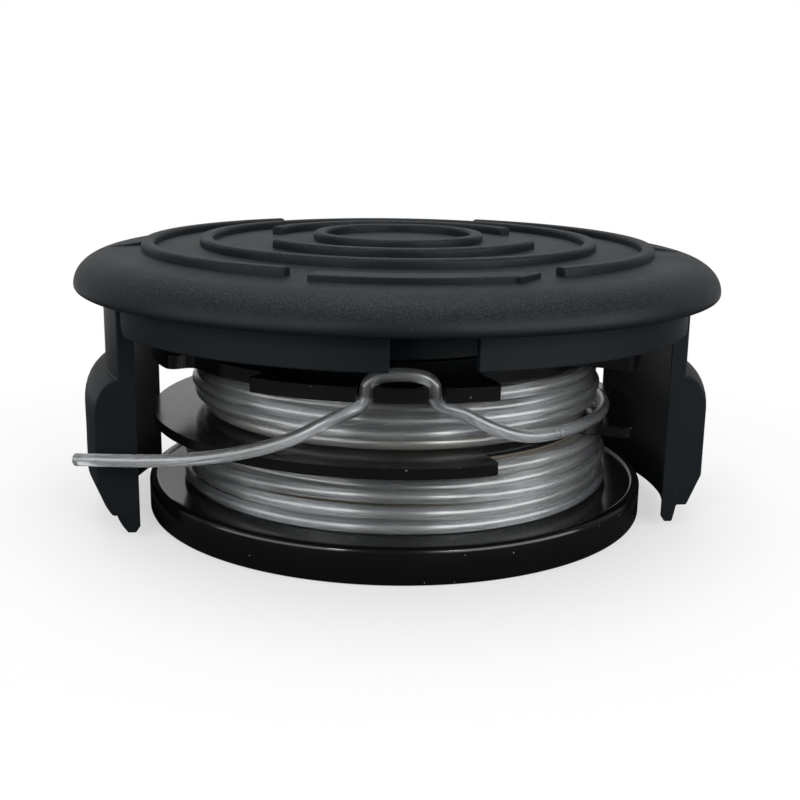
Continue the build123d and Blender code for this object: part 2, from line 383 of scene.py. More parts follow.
def surface_marks():
    """The shared group of fine grain, handling smudges and dust specks, built once."""
    name = "surface marks"
    if name in bpy.data.node_groups:
        return bpy.data.node_groups[name]
    inputs = {"Grain Scale": 4200.0, "Smudge Scale": 90.0, "Dust Scale": 420.0, "Dust": 0.1}
    specks_kept = 0.3
    nodes, given, result = new_group(name, inputs, ("Grain", "Smudge", "Dust"))
    place_on = nodes.add("ShaderNodeTexCoord").outputs["Object"]
    grain = nodes.add(
        "ShaderNodeTexNoise",
        {"Vector": place_on, "Scale": given["Grain Scale"], "Detail": 2.0},
    )
    smudge = nodes.add(
        "ShaderNodeTexNoise",
        {"Vector": place_on, "Scale": given["Smudge Scale"], "Detail": 4.0, "Roughness": 0.6},
    )
    speck = nodes.add(
        "ShaderNodeTexVoronoi",
        {"Vector": place_on, "Scale": given["Dust Scale"]},
        feature="F1",
    )
    near = nodes.math("LESS_THAN", speck.outputs["Distance"], given["Dust"])
    chosen = nodes.add("ShaderNodeSeparateColor", {"Color": speck.outputs["Color"]}).outputs["Red"]
    some = nodes.math("LESS_THAN", chosen, specks_kept)
    tree = nodes.tree
    tree.links.new(grain.outputs["Fac"], result.inputs["Grain"])
    tree.links.new(smudge.outputs["Fac"], result.inputs["Smudge"])
    tree.links.new(nodes.math("MULTIPLY", near, some), result.inputs["Dust"])
    return tree


def new_material(name):
    """A material with its tree emptied down to a Principled shader and an output."""
    material = bpy.data.materials.new(name)
    material.use_nodes = True
    nodes = Nodes(material.node_tree)
    material.node_tree.nodes.clear()
    shader = nodes.add("ShaderNodeBsdfPrincipled")
    nodes.add("ShaderNodeOutputMaterial", {"Surface": shader.outputs["BSDF"]})
    return material, nodes, shader


def lighter(colour, share):
    """A colour moved a share of the way to white."""
    return tuple(channel + (1 - channel) * share for channel in colour)


def darker(colour, share):
    """A colour brought down to a share of itself."""
    return tuple(share * channel for channel in colour)


def grained_plastic(settings):
    """Dark plastic with a fine moulded grain on its upward faces and a satin finish on its sides."""
    dust = (0.07, 0.075, 0.08, 1)
    rougher_top = 0.1
    grain_strength = 0.9
    grain_depth = 0.1 * MM
    material, nodes, shader = new_material("grained plastic")
    marks = nodes.marks(Dust_Scale=900.0, Dust=0.06)
    upward = nodes.span(nodes.axis(nodes.add("ShaderNodeNewGeometry").outputs["Normal"], "Z"), 0.1, 0.7)
    colour = tuple(settings.colour)
    grain = nodes.ramp(marks["Grain"], (0.38, darker(colour, 0.6)), (0.62, lighter(colour, 0.012)))
    tone = nodes.blend(upward, (*colour, 1), grain)
    dusty = nodes.blend(marks["Dust"], tone, dust)
    mean = settings.roughness
    satin = nodes.span(marks["Smudge"], 0.3, 0.7, mean - 0.12, mean - 0.04)
    rough = nodes.math("ADD", satin, nodes.math("MULTIPLY", upward, rougher_top))
    strength = nodes.math("MULTIPLY", upward, grain_strength)
    bump = nodes.add(
        "ShaderNodeBump",
        {"Height": marks["Grain"], "Strength": strength, "Distance": grain_depth},
    )
    links = nodes.tree.links
    links.new(dusty, shader.inputs["Base Color"])
    links.new(rough, shader.inputs["Roughness"])
    links.new(bump.outputs["Normal"], shader.inputs["Normal"])
    shader.inputs["IOR"].default_value = 1.5
    shader.inputs["Specular IOR Level"].default_value = 0.18
    shader.inputs["Specular Tint"].default_value = (0.8, 0.92, 1.0, 1)
    return material


def glossy_plastic(settings):
    """Deep black polished plastic with faint smudges and dust."""
    dust = (0.3, 0.3, 0.3, 1)
    rougher_smudge = 0.14
    smudge_strength = 0.06
    smudge_depth = 0.3 * MM
    material, nodes, shader = new_material("glossy plastic")
    marks = nodes.marks(Grain_Scale=900.0, Dust_Scale=800.0, Dust=0.07)
    base = nodes.blend(marks["Dust"], (*settings.colour, 1), dust)
    mean = settings.roughness
    rough = nodes.span(marks["Smudge"], 0.35, 0.75, mean, mean + rougher_smudge)
    bump = nodes.add(
        "ShaderNodeBump",
        {"Height": marks["Smudge"], "Strength": smudge_strength, "Distance": smudge_depth},
    )
    links = nodes.tree.links
    links.new(base, shader.inputs["Base Color"])
    links.new(rough, shader.inputs["Roughness"])
    links.new(bump.outputs["Normal"], shader.inputs["Normal"])
    shader.inputs["IOR"].default_value = 1.5
    return material


def drawn_nylon(settings):
    """Clear drawn nylon, hazy inside under a soft skin, the same for the wound and the loose line."""
    name = "drawn nylon"
    if name in bpy.data.materials:
        return bpy.data.materials[name]
    haze_swing = 0.03
    material, nodes, shader = new_material(name)
    marks = nodes.marks(Grain_Scale=1300.0, Smudge_Scale=260.0)
    colour = tuple(settings.colour)
    tint = nodes.ramp(marks["Smudge"], (0.3, darker(colour, 0.92)), (0.7, colour))
    mean = settings.roughness
    rough = nodes.span(marks["Grain"], 0.3, 0.7, mean - haze_swing, mean + haze_swing)
    links = nodes.tree.links
    links.new(tint, shader.inputs["Base Color"])
    links.new(rough, shader.inputs["Roughness"])
    shader.inputs["Transmission Weight"].default_value = settings.clearness
    shader.inputs["Coat Weight"].default_value = 1.0
    shader.inputs["Coat Roughness"].default_value = settings.skin
    shader.inputs["Coat IOR"].default_value = 1.85
    shader.inputs["IOR"].default_value = 1.5
    return material


def packed_nylon(settings):
    """The milky mass of turns below the clear outer layers."""
    material, nodes, shader = new_material("packed nylon")
    marks = nodes.marks(Smudge_Scale=120.0)
    colour = tuple(settings.packed)
    tint = nodes.ramp(marks["Smudge"], (0.3, darker(colour, 0.7)), (0.7, colour))
    nodes.tree.links.new(tint, shader.inputs["Base Color"])
    shader.inputs["Roughness"].default_value = 0.4
    return material


# Operators

# Lamps as their place and their width and height, in metres
OVERHEAD = ((0.0, 0.05, 0.5), (0.4, 0.4))
LEFT_PANEL = ((-0.42, -0.272, 0.16), (0.6, 0.31))
RIGHT_PANEL = ((0.374, -0.347, 0.16), (0.65, 0.31))
LEFT_GLINT = ((-0.206, -0.343, 0.2), (0.05, 0.02))
RIGHT_GLINT = ((0.13, -0.378, 0.2), (0.05, 0.02))

# Half the floor's width, and the distances over which it fades and turns pale, in metres
FLOOR_HALF = 1.5
FADE = (0.03, 0.1)
PALE_FROM = (0.08, 0.2)

# Levels of the surroundings, from the camera's side to the far side, as (share, level)
LEVELS = ((0.0, 0.13), (0.3, 0.06), (0.5, 0.09), (0.75, 0.35), (1.0, 0.7))


class SPOOL_OT_set_studio(bpy.types.Operator):
    """Set the camera, the pale floor, the white surroundings and the soft lamps"""

    bl_idname = "line_spool.set_studio"
    bl_label = "Set Studio"

    def execute(self, context):
        studio = context.scene.line_spool.studio
        self.aim_camera(context, studio)
        self.lay_floor()
        self.surround(context.scene)
        self.hang_lamp(context, "overhead lamp", OVERHEAD, studio.overhead)
        self.hang_lamp(context, "left panel", LEFT_PANEL, studio.left_panel)
        self.hang_lamp(context, "right panel", RIGHT_PANEL, studio.right_panel)
        self.hang_lamp(context, "left glint", LEFT_GLINT, studio.glint)
        self.hang_lamp(context, "right glint", RIGHT_GLINT, studio.glint)
        context.scene.view_settings.view_transform = "Standard"
        return {"FINISHED"}

    def aim_camera(self, context, studio):
        """Stands the camera where the picture was taken from."""
        data = bpy.data.cameras.new("camera")
        data.sensor_width = 36
        data.lens = studio.lens
        data.clip_start = 0.01
        camera = bpy.data.objects.new("camera", data)
        heading = Matrix.Rotation(-studio.heading, 4, "Z")
        pitch = Matrix.Rotation(pi / 2 - studio.pitch, 4, "X")
        roll = Matrix.Rotation(studio.roll, 4, "Z")
        camera.matrix_world = Matrix.Translation(studio.camera) @ (heading @ pitch) @ roll
        context.collection.objects.link(camera)
        context.scene.camera = camera

    def lay_floor(self):
        """A pale floor that holds the object's shadow and fades into the white surroundings.

        In front of the object it is pale for the camera alone, so that the object reflects a dark one.
        """
        mesh = bmesh.new()
        bmesh.ops.create_grid(mesh, x_segments=8, y_segments=8, size=FLOOR_HALF)
        material, nodes, shader = new_material("pale floor")
        shader.inputs["Roughness"].default_value = 0.9
        shader.inputs["Specular IOR Level"].default_value = 0.1
        place_on = nodes.add("ShaderNodeTexCoord").outputs["Object"]
        away = nodes.add("ShaderNodeVectorMath", {0: place_on}, operation="LENGTH").outputs["Value"]
        fade = nodes.span(away, *FADE, 0.55, 1.0)
        white = nodes.add("ShaderNodeEmission", {"Strength": 1.0}).outputs["Emission"]
        camera = nodes.add("ShaderNodeLightPath").outputs["Is Camera Ray"]
        seen = nodes.math("MULTIPLY", fade, camera)
        far = nodes.span(nodes.axis(place_on, "Y"), *PALE_FROM)
        pale = nodes.ramp(nodes.math("MAXIMUM", camera, far), (0.0, 0.06), (1.0, 0.9))
        nodes.tree.links.new(pale, shader.inputs["Base Color"])
        mix = nodes.add("ShaderNodeMixShader", {0: seen, 1: shader.outputs["BSDF"], 2: white})
        output = next(node for node in nodes.tree.nodes if node.type == "OUTPUT_MATERIAL")
        nodes.tree.links.new(mix.outputs["Shader"], output.inputs["Surface"])
        floor = finish_piece("floor", mesh, material)

    def surround(self, scene):
        """White surroundings for the camera and for clear pieces, dimmer from the camera's side."""
        world = bpy.data.worlds.new("studio")
        world.use_nodes = True
        scene.world = world
        nodes = Nodes(world.node_tree)
        world.node_tree.nodes.clear()
        way = nodes.add("ShaderNodeTexCoord").outputs["Generated"]
        depth = nodes.axis(way, "Y")
        level = nodes.ramp(nodes.span(depth, -1.0, 1.0), *LEVELS)
        path = nodes.add("ShaderNodeLightPath").outputs
        behind = nodes.span(depth, 0.0, 0.3)
        through = nodes.math("MULTIPLY", path["Is Transmission Ray"], behind)
        seen = nodes.math("MAXIMUM", path["Is Camera Ray"], through)
        colour = nodes.blend(seen, level, (1, 1, 1, 1))
        background = nodes.add("ShaderNodeBackground", {"Color": colour, "Strength": 1.0})
        nodes.add("ShaderNodeOutputWorld", {"Surface": background.outputs["Background"]})

    def hang_lamp(self, context, name, panel, power):
        """A soft panel lamp aimed at the object's middle."""
        middle = (Vector(CAD_BOX[0]) + Vector(CAD_BOX[1])) / 2
        location, size = panel
        data = bpy.data.lights.new(name, "AREA")
        data.shape = "RECTANGLE"
        data.size, data.size_y = size
        data.energy = power
        lamp = bpy.data.objects.new(name, data)
        lamp.location = location
        lamp.rotation_mode = "QUATERNION"
        lamp.rotation_quaternion = (middle - Vector(location)).to_track_quat("-Z", "Y")
        context.collection.objects.link(lamp)


class SPOOL_OT_park_loose_end(bpy.types.Operator):
    """Lead the loose end of the line through the parking notches and out past the left arm"""

    bl_idname = "line_spool.park_loose_end"
    bl_label = "Park Loose End"

    def execute(self, context):
        settings = context.scene.line_spool.line
        data = bpy.data.curves.new("loose_end", "CURVE")
        data.dimensions = "3D"
        data.bevel_depth = settings.diameter / 2
        data.bevel_resolution = 8
        data.resolution_u = 10
        data.use_fill_caps = True
        spline = data.splines.new("NURBS")
        spline.points.add(len(LOOSE_END) - 1)
        for point, place_at in zip(spline.points, LOOSE_END):
            point.co = (*place_at, 1)
        spline.order_u = 3
        spline.use_endpoint_u = True
        data.materials.append(drawn_nylon(settings))
        piece = bpy.data.objects.new("loose_end", data)
        context.collection.objects.link(piece)
        place(piece, "line_tail")
        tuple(LOOSE_END[0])
        return {"FINISHED"}


# Room between the wound line and its loose end, and round the hub
JOIN_GAP = 0.02 * MM
HUB_GAP = 0.1 * MM

# Step between layers as a share of the line's thickness
LAYER_STEP = 0.97

# Where each turn steps on to the next row, and the share of the turn that this takes
STEP_ANGLE = radians(100)
STEP_SHARE = 0.14

# How far every other row and the upper rows sink inwards
ROW_SINK = 0.45 * MM
TOP_SINK = 0.5 * MM

# How far a turn sways inwards and upwards, and how the sway differs by turn and by chamber
SWAY_IN = 0.3 * MM
SWAY_UP = 0.8 * MM
SWAY_BY_TURN = 0.6
SWAY_BY_HEIGHT = 900

# Share of the last turn after which the line makes for its loose end
LEAVE_FROM = 0.3

# Points in a turn, and sides of the line
AROUND = 120
SIDES = 20

# Packed turns: a scallop's depth as a share of the line's thickness, its points, and steps round
SCALLOP = 0.25
SCALLOP_POINTS = 6
PACKED_STEPS = 144


class SPOOL_OT_wind_line(bpy.types.Operator):
    """Wind both chambers with the line, layer on layer, one unbroken length in each"""

    bl_idname = "line_spool.wind_line"
    bl_label = "Wind Line"

    def execute(self, context):
        line = context.scene.line_spool.line
        hub = context.scene.line_spool.spool.hub_radius
        clear = drawn_nylon(line)
        packed = packed_nylon(line)
        for node, end in (("lower_winding", None), ("upper_winding", Vector(LOOSE_END[0]))):
            low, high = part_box(node)
            mesh = bmesh.new()
            self.pack_core(mesh, hub + HUB_GAP, low.z, high.z, high.x, line)
            self.wind(mesh, low.z, high.z, high.x, line, end)
            piece = finish_piece(node + "_turns", mesh, clear)
            piece.data.materials.append(packed)
            place(piece, node)
        return {"FINISHED"}

    def pack_core(self, mesh, inner, low, high, outer, line):
        """The turns below the outer layers, as one ring with a scalloped outside."""
        reach = outer - line.diameter * (1 + LAYER_STEP * (line.layers - 1))
        depth = SCALLOP * line.diameter
        points = round((high - low) / line.diameter) * SCALLOP_POINTS
        outline = [(inner, low), (inner, high)]
        for step in range(points, -1, -1):
            bulge = depth * abs(sin(pi * step / SCALLOP_POINTS))
            outline.append((reach - depth + bulge, low + (high - low) * step / points))
        sweep_outline(mesh, outline, PACKED_STEPS)
        for face in mesh.faces:
            face.material_index = 1

    def seats(self, low, high, outer, line):
        """Radius, height and looseness of each turn of the outer layers.

        The layers run up and down in turn, and the last one ends at the lower flange.
        """
        half = line.diameter / 2
        rows = round((high - low) / line.diameter)
        pitch = (high - low - line.diameter) / (rows - 1)
        for layer in range(line.layers):
            depth = (line.layers - 1 - layer) * LAYER_STEP * line.diameter
            for count in range(rows):
                row = count if (line.layers - layer) % 2 == 0 else rows - 1 - count
                sink = ROW_SINK * (row % 2) + TOP_SINK * (row / (rows - 1)) ** 2
                loose = sin(pi * row / (rows - 1))
                yield outer - half - depth - sink, low + half + row * pitch, loose

    def route(self, low, high, outer, line, end):
        """Points along the outer layers, wound clockwise up to the loose end if there is one."""
        seats = list(self.seats(low, high, outer, line))
        for turn, (radius, height, loose) in enumerate(seats):
            next_radius, next_height, _ = seats[min(turn + 1, len(seats) - 1)]
            last_turn = turn == len(seats) - 1
            steps = AROUND
            if last_turn and end:
                steps = round(AROUND * (STEP_ANGLE - atan2(end.y, end.x)) / tau)
            for step in range(steps + last_turn):
                angle = STEP_ANGLE - tau * step / AROUND
                on = smooth((step / AROUND - 1 + STEP_SHARE) / STEP_SHARE)
                offset = SWAY_BY_TURN * turn + SWAY_BY_HEIGHT * low
                sway = noise.noise(Vector((cos(angle), sin(angle), offset)))
                at_radius = radius + (next_radius - radius) * on - SWAY_IN * abs(sway)
                at_height = height + (next_height - height) * on + SWAY_UP * sway * loose
                if last_turn and end:
                    left = (step - LEAVE_FROM * steps) / ((1 - LEAVE_FROM) * steps)
                    at_radius += (end.xy.length - at_radius) * smooth(left)
                    at_height += (end.z - at_height) * smooth(left)
                yield Vector((*polar(at_radius, angle), at_height))

    def wind(self, mesh, low, high, outer, line, end):
        """The outer layers as one tube along their route, its end square to any loose end."""
        half = line.diameter / 2
        points = list(self.route(low, high, outer, line, end))
        rings = []
        for index, point in enumerate(points):
            along = points[min(index + 1, len(points) - 1)] - points[max(index - 1, 0)]
            if end and index == len(points) - 1:
                along = Vector(LOOSE_END[1]) - Vector(LOOSE_END[0])
                point = point - JOIN_GAP * along.normalized()
            along.normalize()
            across = along.cross(Vector((0, 0, 1))).normalized()
            up = across.cross(along)
            ring = []
            for side in range(SIDES):
                tilt = tau * side / SIDES
                ring.append(mesh.verts.new(point + half * (cos(tilt) * across + sin(tilt) * up)))
            rings.append(ring)
        for near, far in zip(rings, rings[1:]):
            join_rows(mesh, near, far)
        mesh.faces.new(rings[0])
        mesh.faces.new(rings[-1])


# Cut-aways as (start, end, radius), angles in degrees; each has a twin half a turn on
CUT_AWAY = (-74.3, -31.5, 27.5 * MM)
RECESS = (-154.0, -126.8, 31.5 * MM)

# Parking notches: angles in degrees, depth, room beside the line, and half the angle they take up
NOTCHES = (-102.1, -87.9)
NOTCH_DEPTH = 2.9 * MM
NOTCH_ROOM = 0.2 * MM
NOTCH_HALF = 1.7

# Corner radii of the cut-aways, of the tab, and of a notch's mouth and end
CORNER = 1.2 * MM
TAB_CORNER = 0.5 * MM
NOTCH_MOUTH = 0.4 * MM
NOTCH_END = 0.9 * MM

# Points along a round edge: angle kept clear of a corner and between points, in degrees
EDGE_CLEAR = 3.4
EDGE_STEP = 2.5

# Heights of the flanges, and width of their eased edges
BASE_TOP = 4.6 * MM
MIDDLE = (13.35 * MM, 14.75 * MM)
TOP = (22.7 * MM, 24.5 * MM)
SPOOL_EASE = 0.28 * MM

# Base flange: thickness of the plate, width of the rim, and width and height of its lip
BASE_PLATE = 2.0 * MM
RIM_WIDTH = 2.2 * MM
LIP_WIDTH = 1.3 * MM
LIP_HEIGHT = 0.35 * MM

# Corner radii of the base: outside, inside of the rim's foot, inside of the lip, foot of the lip
RIM_ROUND = 0.7 * MM
FOOT_ROUND = 0.3 * MM
LIP_ROUND = 0.25 * MM
LIP_FILLET = 0.1 * MM

# Drive lugs: how many, radius of their middle, length, width and room to the ground
LUGS = 8
LUG_RADIUS = 26.5 * MM
LUG_LENGTH = 8.0 * MM
LUG_WIDTH = 2.4 * MM
LUG_ROOM = 0.4 * MM

# Hub: heights of the web, and wall and top of the bore's boss
WEB = (10.0 * MM, 12.5 * MM)
BOSS_WALL = 3.0 * MM
BOSS_TOP = 20.0 * MM


class SPOOL_OT_mould_spool(bpy.types.Operator):
    """Mould the glossy spool with its cut-away and notched flanges"""

    bl_idname = "line_spool.mould_spool"
    bl_label = "Mould Spool"

    def execute(self, context):
        spool = context.scene.line_spool.spool
        line = context.scene.line_spool.line.diameter
        hole = spool.hub_radius - spool.hub_wall
        mesh = bmesh.new()
        self.add_base(mesh, spool, hole)
        self.add_hub(mesh, spool, hole)
        plain = self.flange_outline(spool.flange_radius, [CUT_AWAY])
        raise_ring(mesh, plain, hole, *MIDDLE)
        notched = self.flange_outline(spool.flange_radius, [RECESS, CUT_AWAY], line)
        raise_ring(mesh, notched, hole, *TOP)
        piece = finish_piece("moulded_spool", mesh, glossy_plastic(spool), bevel=SPOOL_EASE)
        place(piece, "spool")
        return {"FINISHED"}

    def add_base(self, mesh, spool, hole):
        """The base flange: a plate with a raised lip and a rim that it stands on, and drive lugs."""
        rim = spool.base_radius
        rim_inside = rim - RIM_WIDTH
        lip_inside = rim - LIP_WIDTH
        under = BASE_TOP - BASE_PLATE
        lip = BASE_TOP + LIP_HEIGHT
        section = round_corners([
            (hole, under, 0),
            (rim_inside, under, 0),
            (rim_inside, 0, FOOT_ROUND),
            (rim, 0, RIM_ROUND),
            (rim, lip, RIM_ROUND),
            (lip_inside, lip, LIP_ROUND),
            (lip_inside, BASE_TOP, LIP_FILLET),
            (hole, BASE_TOP, 0),
        ])
        sweep_outline(mesh, section, 192)
        size = Matrix.Diagonal((LUG_LENGTH, LUG_WIDTH, under - LUG_ROOM, 1))
        middle = Matrix.Translation((LUG_RADIUS, 0, (under + LUG_ROOM) / 2))
        for index in range(LUGS):
            turn = Matrix.Rotation(tau * index / LUGS, 4, "Z")
            bmesh.ops.create_cube(mesh, size=1.0, matrix=turn @ middle @ size)

    def add_hub(self, mesh, spool, hole):
        """The hub's wall, the web across it and the bore's boss."""
        radius = spool.hub_radius
        top = TOP[1]
        under = BASE_TOP - BASE_PLATE
        low, high = WEB
        bore = spool.bore
        boss = bore + BOSS_WALL
        sweep_outline(mesh, [(hole, under), (radius, under), (radius, top), (hole, top)], 96)
        plug = [
            (bore, low), (hole, low), (hole, high),
            (boss, high), (boss, BOSS_TOP), (bore, BOSS_TOP),
        ]
        sweep_outline(mesh, plug, 96)

    def flange_outline(self, radius, cuts, line=None):
        """A flange's outline, with rounded cut-aways and, where a line size is given, notches."""
        features = [(cut[0], cut) for cut in cuts]
        if line:
            features += [(angle, None) for angle in NOTCHES]
        features.sort(key=lambda feature: feature[0])
        first = features[0][0] - 1.0
        corners = []
        for turn in (0.0, 180.0):
            place_at = first + turn
            for angle, cut in features:
                if cut:
                    place_at = self.cut_away(corners, radius, cut, turn, place_at)
                else:
                    place_at = self.cut_notch(corners, radius, angle + turn, line, place_at)
            self.follow_rim(corners, radius, place_at, first + turn + 180.0)
        return round_corners(corners)

    def cut_away(self, corners, radius, cut, turn, place_at):
        """Adds the rim up to a cut-away and the cut-away; gives the angle at which it ends."""
        start, end, depth = cut[0] + turn, cut[1] + turn, cut[2]
        last = TAB_CORNER if cut == RECESS else CORNER
        self.follow_rim(corners, radius, place_at, start)
        corners.append((*polar(radius, radians(start)), CORNER))
        corners.append((*polar(depth, radians(start)), CORNER))
        self.follow_rim(corners, depth, start, end)
        corners.append((*polar(depth, radians(end)), CORNER))
        corners.append((*polar(radius, radians(end)), last))
        return end

    def cut_notch(self, corners, radius, angle, line, place_at):
        """Adds the rim up to a parking notch and the notch; gives the angle at which it ends."""
        side = asin((line / 2 + NOTCH_ROOM) / radius)
        mouth = (0, NOTCH_MOUTH)
        end = (NOTCH_DEPTH, NOTCH_END)
        self.follow_rim(corners, radius, place_at, angle - NOTCH_HALF)
        for sign, (depth, corner) in ((-1, mouth), (-1, end), (1, end), (1, mouth)):
            corners.append((*polar(radius - depth, radians(angle) + sign * side), corner))
        return angle + NOTCH_HALF

    def follow_rim(self, corners, radius, start, end):
        """Adds points along a round edge, kept clear of the corners at both its ends."""
        length = end - start - 2 * EDGE_CLEAR
        if length <= 0:
            return
        steps = max(1, int(length / EDGE_STEP))
        for step in range(steps + 1):
            angle = start + EDGE_CLEAR + length * step / steps
            corners.append((*polar(radius, radians(angle)), 0))


# Width of the eased edges, radius of the rim's lower edge and of the skirt's lower corners
COVER_EASE = 0.3 * MM
RIM_EDGE = 0.6 * MM
SKIRT_CORNER = 2.0 * MM

# Boss on the spool's hub: inside, outside and spigot radii, and the spigot's length
BOSS_INSIDE = 15.0 * MM
BOSS_OUTSIDE = 19.0 * MM
SPIGOT_RADIUS = 17.1 * MM
SPIGOT_LENGTH = 2.0 * MM

# An arm's tip: its height, its slopes inside and outside, and the height and radius of its barb
ARM_LOW = 0.7 * MM
TIP_INSIDE = (0.55 * MM, 0.9 * MM)
TIP_OUTSIDE = 0.45 * MM
BARB_HEIGHT = 3.1 * MM
BARB_RADIUS = 42.5 * MM

# Corner radii of an arm: inside slope, tip, above the tip, barb and the thumb pad's foot
SLOPE_ROUND = 0.4 * MM
TIP_ROUND = 0.25 * MM
NECK_ROUND = 0.2 * MM
BARB_ROUND = 0.3 * MM
PAD_ROUND = 0.6 * MM

# Thumb pad: radius, foot's height, rows of points up its face, and shoulder's height and rise
PAD_RADIUS = 44.2 * MM
PAD_LOW = 7.4 * MM
FACE_LOW = 7.6 * MM
FACE_STEP = 0.4 * MM
FACE_ROWS = 23
SHOULDER_LOW = 16.8 * MM
SHOULDER_RISE = 4.8 * MM
SHOULDER_STEPS = 9

# Grip hollow: middle, half height, half width, depth, steepness, and stand-off where it starts
GRIP_MIDDLE = 13.2 * MM
GRIP_HALF_HEIGHT = 1.6 * MM
GRIP_HALF_WIDTH = 7.5 * MM
GRIP_DEPTH = 0.55 * MM
GRIP_STEEPNESS = 4
GRIP_FROM = 2.5 * MM

# Ribs: angles of split and side ones in degrees, root in the plate, and radius of top edges
SPLIT_HALF_GAP = 26.4
SIDE_HALF_SPAN = 62.5
MARK_ROOT = 0.4 * MM
RIB_ROUND = 0.45 * MM

# Arrow: angles of its tail, barbs and tip in degrees, radius, half widths and height
ARROW = (-112.2, -74.1, -67.3)
ARROW_RADIUS = 35.2 * MM
ARROW_HALF = 1.85 * MM
ARROW_BARB = 2.6 * MM
ARROW_HEIGHT = 0.65 * MM
ARROW_STEPS = 24

# Fins: angles in degrees, reach past the outer rib, half width, and heights at both ends
FINS = (-3.0, 177.0)
FIN_REACH = 4.8 * MM
FIN_HALF = 0.8 * MM
FIN_HEIGHT = 0.6 * MM
FIN_TIP = 0.05 * MM


